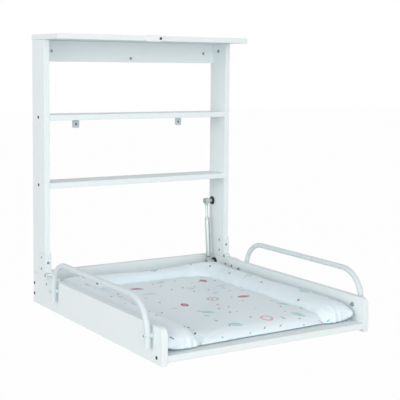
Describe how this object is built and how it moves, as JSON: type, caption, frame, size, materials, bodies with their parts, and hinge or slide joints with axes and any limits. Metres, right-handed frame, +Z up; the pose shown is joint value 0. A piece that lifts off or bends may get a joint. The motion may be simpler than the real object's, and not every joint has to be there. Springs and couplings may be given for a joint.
{
  "type": "baby changing station",
  "caption": "Wall-hung white changing station: shelves in a narrow frame, and a tray with guard rails and a padded mat that hinges up to close the front, held by a gas strut.",
  "frame": {"origin": "middle of the wall rail's back face, on the wall", "axes": "+X to the right as seen from the room, +Y into the wall, +Z up; the whole part is at Y of 0 or less"},
  "size_m": [0.6786, 0.76, 0.7853],
  "materials": {
    "white_board": "white satin laminate on board",
    "white_steel": "white powder coat, semi gloss",
    "zinc_steel": "zinc plated",
    "bright_steel": "ground and polished",
    "dark_steel": "black oxide",
    "black_plastic": "moulded, matte",
    "grey_plastic": "moulded, satin",
    "white_plastic": "moulded, semi gloss",
    "mat_film": "wipe-clean printed film over foam"
  },
  "bodies": {
    "carcass": {"left_upright": "white_board", "right_upright": "white_board", "top_board": "white_board", "wall_rail": "white_board", "upper_shelf": "white_board", "lower_shelf": "white_board", "left_upper_shelf_screw": "zinc_steel", "left_lower_shelf_screw": "zinc_steel", "right_upper_shelf_screw": "zinc_steel", "right_lower_shelf_screw": "zinc_steel", "left_wall_bracket": "zinc_steel", "right_wall_bracket": "zinc_steel", "left_upper_hinge_leaf": "white_steel", "right_upper_hinge_leaf": "white_steel", "left_hinge_pin": "zinc_steel", "right_hinge_pin": "zinc_steel", "strut_upper_mount": "black_plastic", "strut_upper_clip": "dark_steel", "latch_screw": "zinc_steel"},
    "tray": {"left_tray_side": "white_board", "right_tray_side": "white_board", "rear_tray_board": "white_board", "tray_bottom": "white_board", "changing_mat": "mat_film", "left_lower_hinge_leaf": "white_steel", "right_lower_hinge_leaf": "white_steel", "left_guard_rail": "white_steel", "right_guard_rail": "white_steel", "left_rear_rail_saddle": "white_plastic", "left_rear_rail_bolt": "zinc_steel", "left_rear_rail_nut": "zinc_steel", "left_rear_rail_plug": "white_plastic", "left_front_rail_saddle": "white_plastic", "left_front_rail_bolt": "zinc_steel", "left_front_rail_nut": "zinc_steel", "left_front_rail_plug": "white_plastic", "right_rear_rail_saddle": "white_plastic", "right_rear_rail_bolt": "zinc_steel", "right_rear_rail_nut": "zinc_steel", "right_rear_rail_plug": "white_plastic", "right_front_rail_saddle": "white_plastic", "right_front_rail_bolt": "zinc_steel", "right_front_rail_nut": "zinc_steel", "right_front_rail_plug": "white_plastic", "left_lower_rear_tray_screw": "dark_steel", "left_upper_rear_tray_screw": "dark_steel", "left_front_tray_screw": "dark_steel", "right_lower_rear_tray_screw": "dark_steel", "right_upper_rear_tray_screw": "dark_steel", "right_front_tray_screw": "dark_steel", "strut_lower_mount": "black_plastic"},
    "strut_rod_end": {"strut_upper_eye": "grey_plastic", "strut_rod": "bright_steel", "strut_piston": "black_plastic"},
    "strut_cylinder_end": {"strut_cylinder": "bright_steel", "strut_gland": "black_plastic", "strut_lower_eye": "grey_plastic", "strut_lower_pin": "dark_steel"},
    "latch": {"turn_button": "white_plastic"}
  },
  "joints": [
    {"name": "tray_fold", "type": "hinge", "parent": "carcass", "child": "tray", "pos_m": [0, -0.093, -0.642], "axis": [-1, 0, 0], "range_deg": [0, 90]},
    {"name": "strut_swing", "type": "hinge", "parent": "carcass", "child": "strut_rod_end", "pos_m": [0.276, -0.018, -0.472], "axis": [-1, 0, 0], "range_deg": [0, 19.2]},
    {"name": "strut_stroke", "type": "slide", "parent": "strut_rod_end", "child": "strut_cylinder_end", "axis": [0, -0.086, -0.9963], "range_m": [0, 0.0521]},
    {"name": "latch_turn", "type": "hinge", "parent": "carcass", "child": "latch", "pos_m": [0.005, -0.181, 0.0383], "axis": [0, -1, 0], "range_deg": [0, 90]}
  ],
  "couplings": [
    {"joint": "strut_swing", "follows": "tray_fold", "ratio": 0.21301},
    {"joint": "strut_stroke", "follows": "tray_fold", "m_per_rad": 0.033132}
  ]
}
